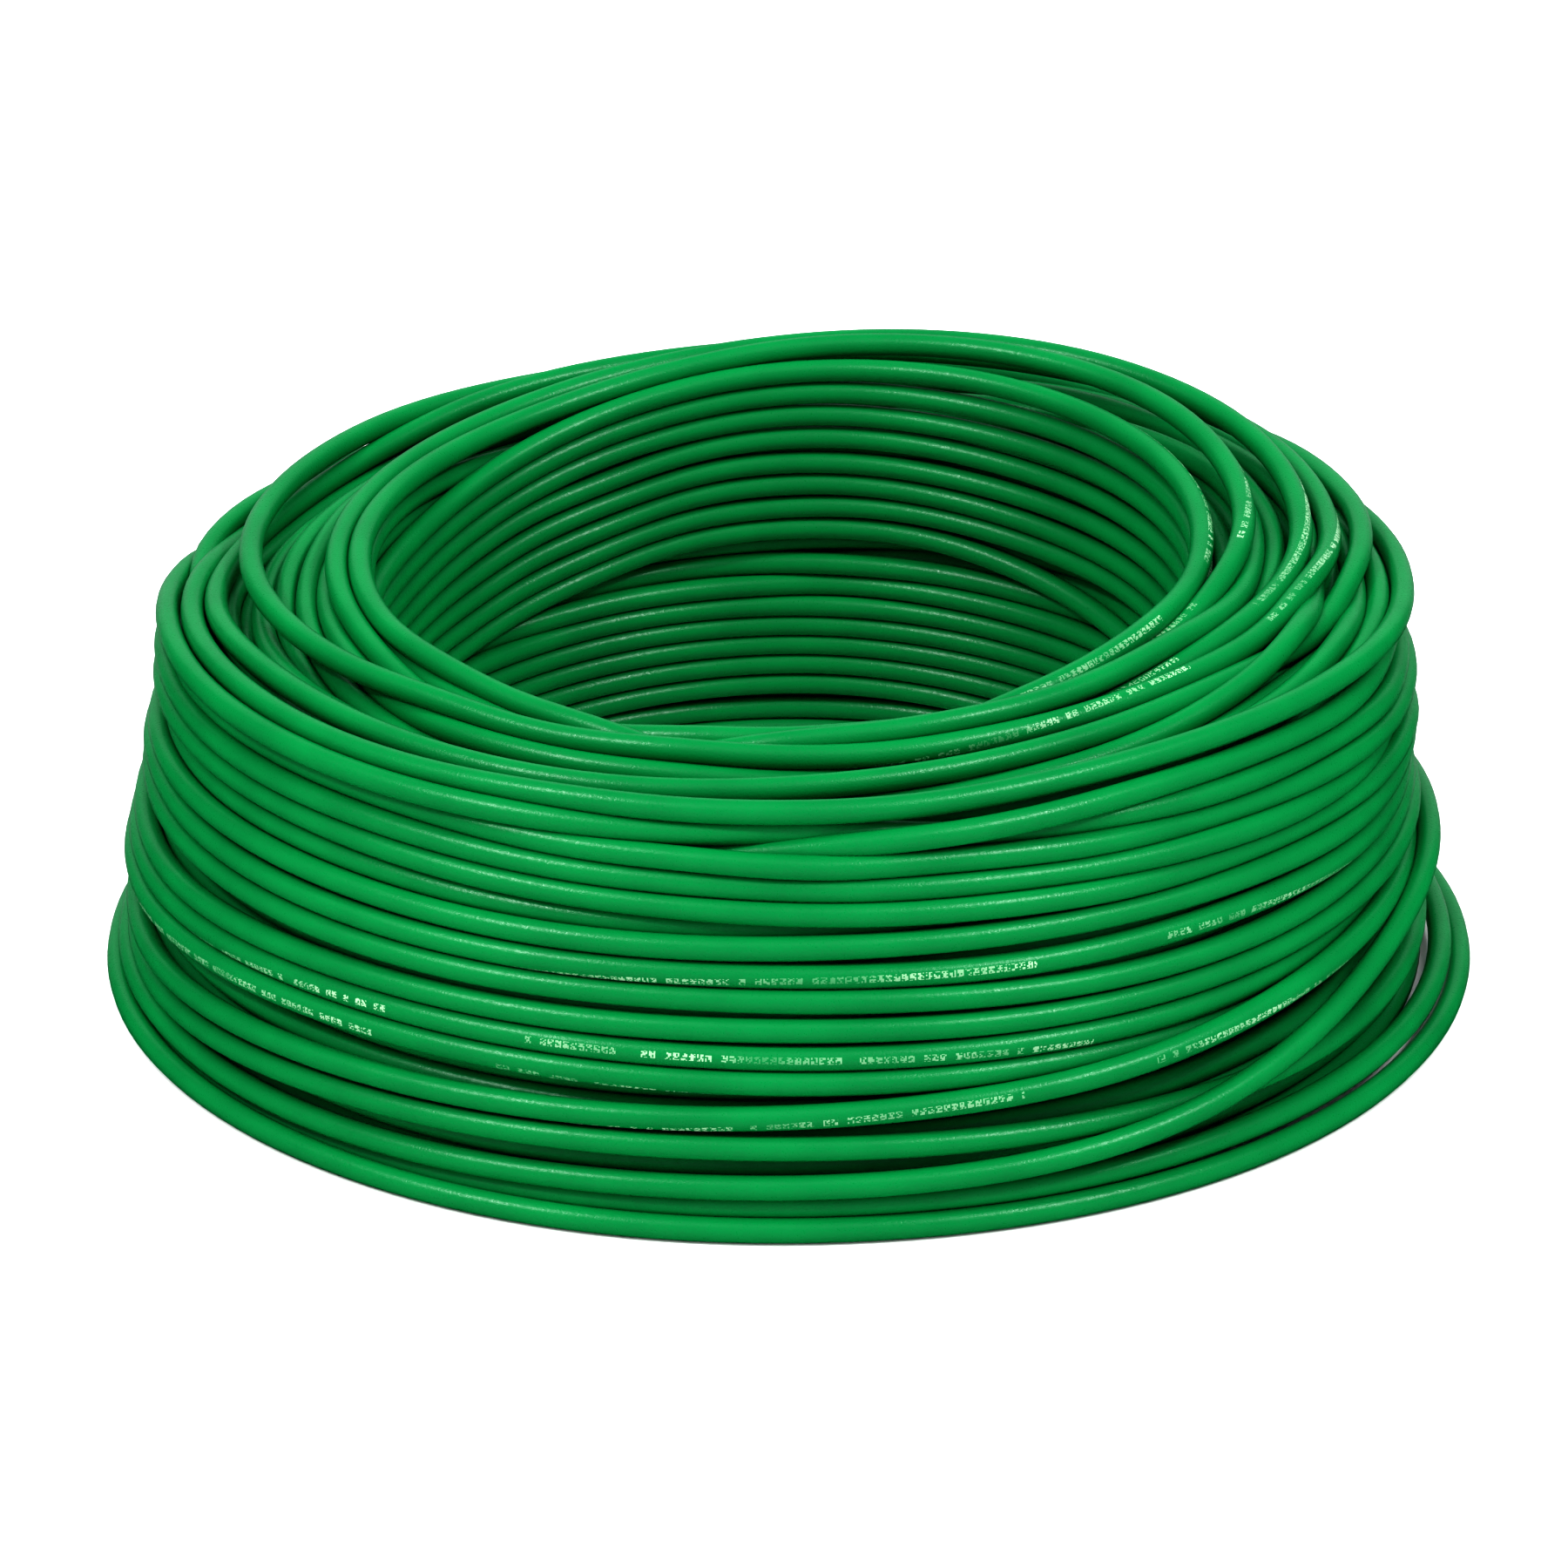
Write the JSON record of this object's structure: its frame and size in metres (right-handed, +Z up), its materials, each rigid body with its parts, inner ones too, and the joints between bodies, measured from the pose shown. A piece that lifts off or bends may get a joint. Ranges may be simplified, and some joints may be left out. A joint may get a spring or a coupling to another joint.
{
  "type": "wire coil",
  "caption": "Free-standing coreless coil of green insulated stranded building wire, loosely wound in layers round an open eye.",
  "frame": {"origin": "on the floor, on the axis of the coil's eye", "axes": "+Z up along the eye, +Y towards the taller back of the coil"},
  "size_m": [0.2254, 0.2254, 0.0826],
  "materials": {
    "jacket": "satin extruded PVC",
    "copper": "bright drawn bare copper"
  },
  "bodies": {
    "root": {"winding_layer_01": "jacket", "winding_layer_02": "jacket", "winding_layer_03": "jacket", "winding_layer_04": "jacket", "winding_layer_05": "jacket", "winding_layer_06": "jacket", "winding_layer_07": "jacket", "winding_layer_08": "jacket", "winding_layer_09": "jacket", "winding_layer_10": "jacket", "winding_layer_11": "jacket", "winding_layer_12": "jacket", "wire_end_jacket": "jacket", "conductor_centre_strand": "copper", "conductor_inner_strands": "copper", "conductor_outer_strands": "copper"}
  },
  "joints": []
}
